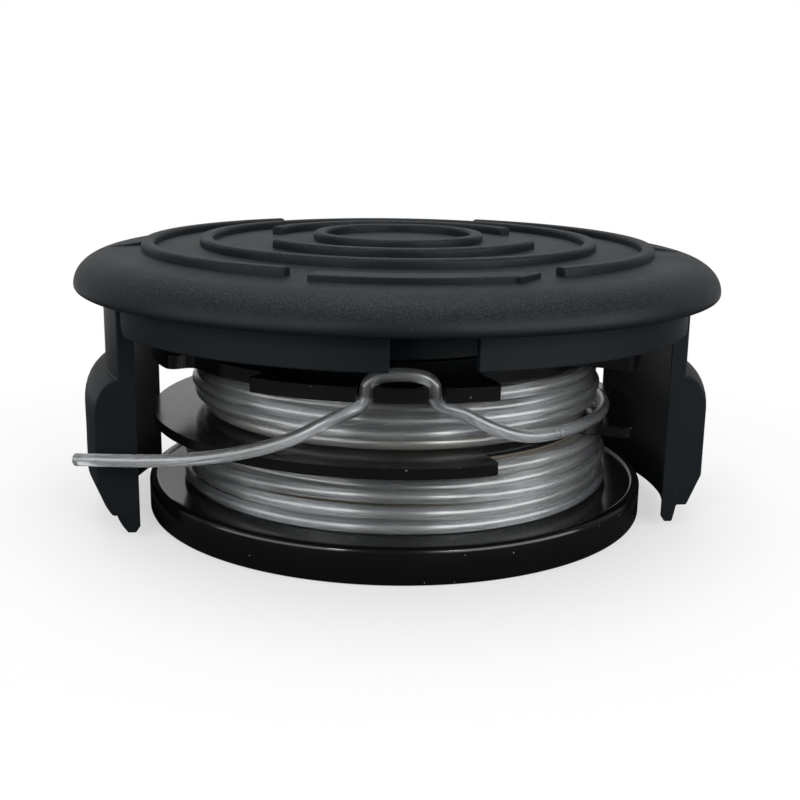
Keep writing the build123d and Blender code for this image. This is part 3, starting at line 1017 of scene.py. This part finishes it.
class SPOOL_OT_mould_cover(bpy.types.Operator):
    """Mould the grained cover with its rim, skirt, latch arms and the raised marks on top"""

    bl_idname = "line_spool.mould_cover"
    bl_label = "Mould Cover"

    def execute(self, context):
        cover = context.scene.line_spool.cover
        mesh = bmesh.new()
        self.add_plate(mesh, cover)
        self.add_skirt(mesh, cover)
        self.add_arms(mesh, cover)
        self.add_marks(mesh, cover)
        piece = finish_piece("moulded_cover", mesh, grained_plastic(cover), bevel=COVER_EASE)
        place(piece, "cover")
        return {"FINISHED"}

    def crown(self, cover, radius):
        """Height of the plate's crowned top at a radius."""
        flat = cover.radius - cover.rim_round
        sphere = (flat**2 + cover.crown**2) / (2 * cover.crown)
        return cover.top - sphere + (sphere**2 - radius**2) ** 0.5

    def add_plate(self, mesh, cover):
        """The plate with its rounded rim, and the boss that lands on the spool's hub."""
        rings, arc, edge_arc = 12, 16, 4
        edge = RIM_EDGE
        flat = cover.radius - cover.rim_round
        foot = cover.rim_low + edge
        rise = cover.top - cover.crown - foot
        inner = cover.skirt_radius - cover.wall
        outline = []
        for step in range(rings):
            radius = flat * step / rings
            outline.append((radius, self.crown(cover, radius)))
        for step in range(arc + 1):
            angle = pi / 2 * (1 - step / arc)
            outline.append((flat + cover.rim_round * cos(angle), foot + rise * sin(angle)))
        for step in range(1, edge_arc + 1):
            angle = -pi / 2 * step / edge_arc
            outline.append((cover.radius - edge + edge * cos(angle), foot + edge * sin(angle)))
        outline.append((inner, cover.rim_low))
        for step in range(rings, -1, -1):
            radius = inner * step / rings
            outline.append((radius, self.crown(cover, radius) - cover.plate))
        sweep_outline(mesh, outline, 192)
        under = cover.top - cover.plate
        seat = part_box("spool")[1][2]
        tip = seat - SPIGOT_LENGTH
        boss = [
            (BOSS_INSIDE, under), (BOSS_OUTSIDE, under), (BOSS_OUTSIDE, seat),
            (SPIGOT_RADIUS, seat), (SPIGOT_RADIUS, tip), (BOSS_INSIDE, tip),
        ]
        sweep_outline(mesh, boss, 96)

    def add_skirt(self, mesh, cover):
        """The skirt's four arcs between the windows and the arms, rounded below by the arms."""
        outer = cover.skirt_radius
        inner = outer - cover.wall
        high = cover.rim_low + RIM_EDGE
        low = cover.skirt_low
        section = [(inner, low), (outer, low), (outer, high), (inner, high)]
        side = cover.arm_half + cover.arm_slot
        for half_turn in (0, pi):
            for mirror in (1, -1):
                sweep_outline(
                    mesh, section, 24,
                    lambda r, t=half_turn, m=mirror: t + m * asin(side / r),
                    lambda r, t=half_turn, m=mirror: t + m * (pi / 2 - asin(cover.window / 2 / r)),
                )
        corners = []
        for edge in mesh.edges:
            places = [vertex.co for vertex in edge.verts]
            if all(abs(at.z - low) < 1e-6 and abs(abs(at.y) - side) < 1e-5 for at in places):
                corners.append(edge)
        bmesh.ops.bevel(
            mesh, geom=corners, offset=SKIRT_CORNER, segments=6, profile=0.5, affect="EDGES"
        )

    def arm_section(self, cover):
        """An arm's (radius, height) outline: the latch tip, the thumb pad and its rounded shoulder."""
        outer = cover.skirt_radius
        inner = outer - cover.wall
        high = cover.rim_low + RIM_EDGE
        pad = PAD_RADIUS
        tip = ARM_LOW
        slope, slope_height = TIP_INSIDE
        rows = range(1, FACE_ROWS + 1)
        face = [(pad, FACE_LOW + FACE_STEP * row, 0) for row in rows]
        shoulder = []
        for step in range(1, SHOULDER_STEPS):
            angle = pi / 2 * step / SHOULDER_STEPS
            height = SHOULDER_LOW + SHOULDER_RISE * sin(angle)
            shoulder.append((outer + (pad - outer) * cos(angle), height, 0))
        return round_corners([
            (inner, high, 0),
            (inner, tip + slope_height, SLOPE_ROUND),
            (inner + slope, tip, TIP_ROUND),
            (outer - TIP_OUTSIDE, tip, TIP_ROUND),
            (outer, BARB_HEIGHT, NECK_ROUND),
            (BARB_RADIUS, BARB_HEIGHT, BARB_ROUND),
            (pad, PAD_LOW, PAD_ROUND),
            *face,
            *shoulder,
            (outer, SHOULDER_LOW + SHOULDER_RISE, 0),
            (outer, high, 0),
        ])

    def add_arms(self, mesh, cover):
        """Both latch arms with their thumb pads and the grip hollows in them."""
        section = self.arm_section(cover)
        pad_from = cover.skirt_radius + GRIP_FROM
        for half_turn in (0, pi):
            made = set(mesh.verts)
            sweep_outline(
                mesh, section, 32,
                lambda r, t=half_turn: t - asin(cover.arm_half / r),
                lambda r, t=half_turn: t + asin(cover.arm_half / r),
            )
            for vertex in set(mesh.verts) - made:
                across = abs(vertex.co.y) / GRIP_HALF_WIDTH
                along = abs(vertex.co.z - GRIP_MIDDLE) / GRIP_HALF_HEIGHT
                if vertex.co.xy.length > pad_from and across < 1 and along < 1:
                    share = min(1.0, (1 - across) * GRIP_STEEPNESS) * cos(pi / 2 * along)
                    vertex.co.xy *= 1 - GRIP_DEPTH * share / vertex.co.xy.length

    def add_marks(self, mesh, cover):
        """The concentric ribs, the turning arrow and the two fins."""
        radii = [cover.ring_radius + index * cover.ring_pitch for index in range(4)]
        gap, span = SPLIT_HALF_GAP, SIDE_HALF_SPAN
        self.add_rib(mesh, cover, radii[0])
        self.add_rib(mesh, cover, radii[2])
        for turn in (0.0, 180.0):
            self.add_rib(mesh, cover, radii[1], turn + gap, turn + 180 - gap)
            self.add_rib(mesh, cover, radii[3], turn - span, turn + span)
        self.add_arrow(mesh, cover)
        self.add_fins(mesh, cover, radii[3])

    def add_rib(self, mesh, cover, outer, start=None, end=None):
        """A raised ring, or an arc of one, with rounded top edges."""
        inner = outer - cover.rib_width
        foot = self.crown(cover, outer) - MARK_ROOT
        head = self.crown(cover, outer) + cover.rib_height
        section = round_corners([
            (inner, foot, 0), (outer, foot, 0),
            (outer, head, RIB_ROUND), (inner, head, RIB_ROUND),
        ])
        if start is None:
            sweep_outline(mesh, section, 160)
        else:
            sweep_outline(mesh, section, 80, lambda r: radians(start), lambda r: radians(end))

    def add_arrow(self, mesh, cover):
        """The turning arrow: a bar along the rim with a pointed head."""
        middle, half, head = ARROW_RADIUS, ARROW_HALF, ARROW_BARB
        tail, barb, tip = (radians(angle) for angle in ARROW)
        steps = ARROW_STEPS
        sweep = [tail + (barb - tail) * step / steps for step in range(steps + 1)]
        outline = [polar(middle + half, angle) for angle in sweep]
        outline += [polar(middle + head, barb), polar(middle, tip), polar(middle - head, barb)]
        outline += [polar(middle - half, angle) for angle in reversed(sweep)]
        face = self.crown(cover, middle)
        raise_outline(mesh, outline, face - MARK_ROOT, face + ARROW_HEIGHT)

    def add_fins(self, mesh, cover, outer):
        """Two short ramps that run from the outer ribs down to the rim."""
        start = outer - cover.rib_width / 2
        end = outer + FIN_REACH
        foot = self.crown(cover, end) - MARK_ROOT
        head = self.crown(cover, start) + FIN_HEIGHT
        tip = self.crown(cover, end) + FIN_TIP
        profile = [(start, foot), (start, head), (end, tip), (end, foot)]
        for angle in FINS:
            turn = Matrix.Rotation(radians(angle), 3, "Z")
            sides = []
            for y in (-FIN_HALF, FIN_HALF):
                sides.append([mesh.verts.new(turn @ Vector((x, y, z))) for x, z in profile])
            mesh.faces.new(sides[0])
            mesh.faces.new(sides[1])
            join_rows(mesh, *sides)


class SPOOL_PT_line_spool(bpy.types.Panel):
    """Lists the settings and the steps that dress the line spool."""

    bl_idname = "SPOOL_PT_line_spool"
    bl_label = "Line Spool"
    bl_space_type = "VIEW_3D"
    bl_region_type = "UI"
    bl_category = "Line Spool"

    def draw(self, context):
        settings = context.scene.line_spool
        for group in (settings.cover, settings.spool, settings.line, settings.studio):
            box = self.layout.box()
            for name in group.__annotations__:
                box.prop(group, name)
        for operator in OPERATORS:
            self.layout.operator(operator.bl_idname)


SETTINGS = (CoverSettings, SpoolSettings, LineSettings, StudioSettings, LineSpoolSettings)
OPERATORS = (
    SPOOL_OT_set_studio,
    SPOOL_OT_park_loose_end,
    SPOOL_OT_wind_line,
    SPOOL_OT_mould_spool,
    SPOOL_OT_mould_cover,
)
CLASSES = (*SETTINGS, *OPERATORS, SPOOL_PT_line_spool)


def register():
    """Registers the classes and hangs the settings on the scene."""
    for entry in CLASSES:
        bpy.utils.register_class(entry)
    bpy.types.Scene.line_spool = PointerProperty(type=LineSpoolSettings)


def unregister():
    """Takes the settings off the scene and unregisters the classes."""
    del bpy.types.Scene.line_spool
    for entry in reversed(CLASSES):
        bpy.utils.unregister_class(entry)


def main():
    """Dresses the line spool step by step."""
    register()
    bpy.ops.line_spool.set_studio()
    bpy.ops.line_spool.park_loose_end()
    bpy.ops.line_spool.wind_line()
    bpy.ops.line_spool.mould_spool()
    bpy.ops.line_spool.mould_cover()


if __name__ == "__main__":
    main()
